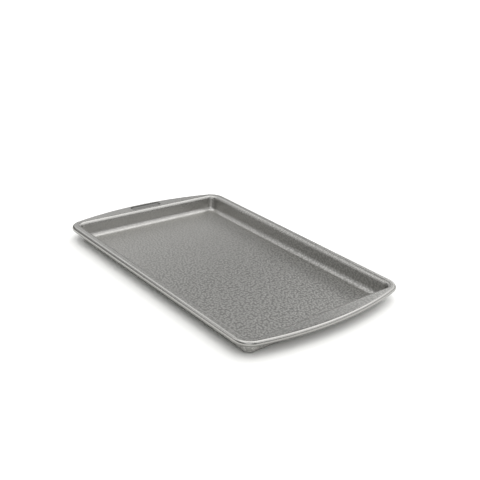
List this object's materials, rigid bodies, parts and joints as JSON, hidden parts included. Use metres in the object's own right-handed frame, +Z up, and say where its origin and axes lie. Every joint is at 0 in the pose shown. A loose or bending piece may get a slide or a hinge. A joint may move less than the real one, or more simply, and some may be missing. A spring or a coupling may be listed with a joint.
{
  "type": "jelly roll pan",
  "caption": "Shallow rectangular baking pan of pebble-embossed aluminium with nearly upright walls, round corners, a rolled wired rim and short ends bowed out into handles.",
  "frame": {"origin": "on the resting surface, under the middle of the pan's floor", "axes": "+X along the pan's length towards the plain handle, +Y across it, +Z up out of the pan"},
  "size_m": [0.4296, 0.281, 0.0254],
  "materials": {
    "embossed_aluminium": "satin, pebble embossed",
    "steel_wire": "bright drawn"
  },
  "bodies": {
    "root": {"pan_body": "embossed_aluminium", "rim_wire": "steel_wire"}
  },
  "joints": []
}
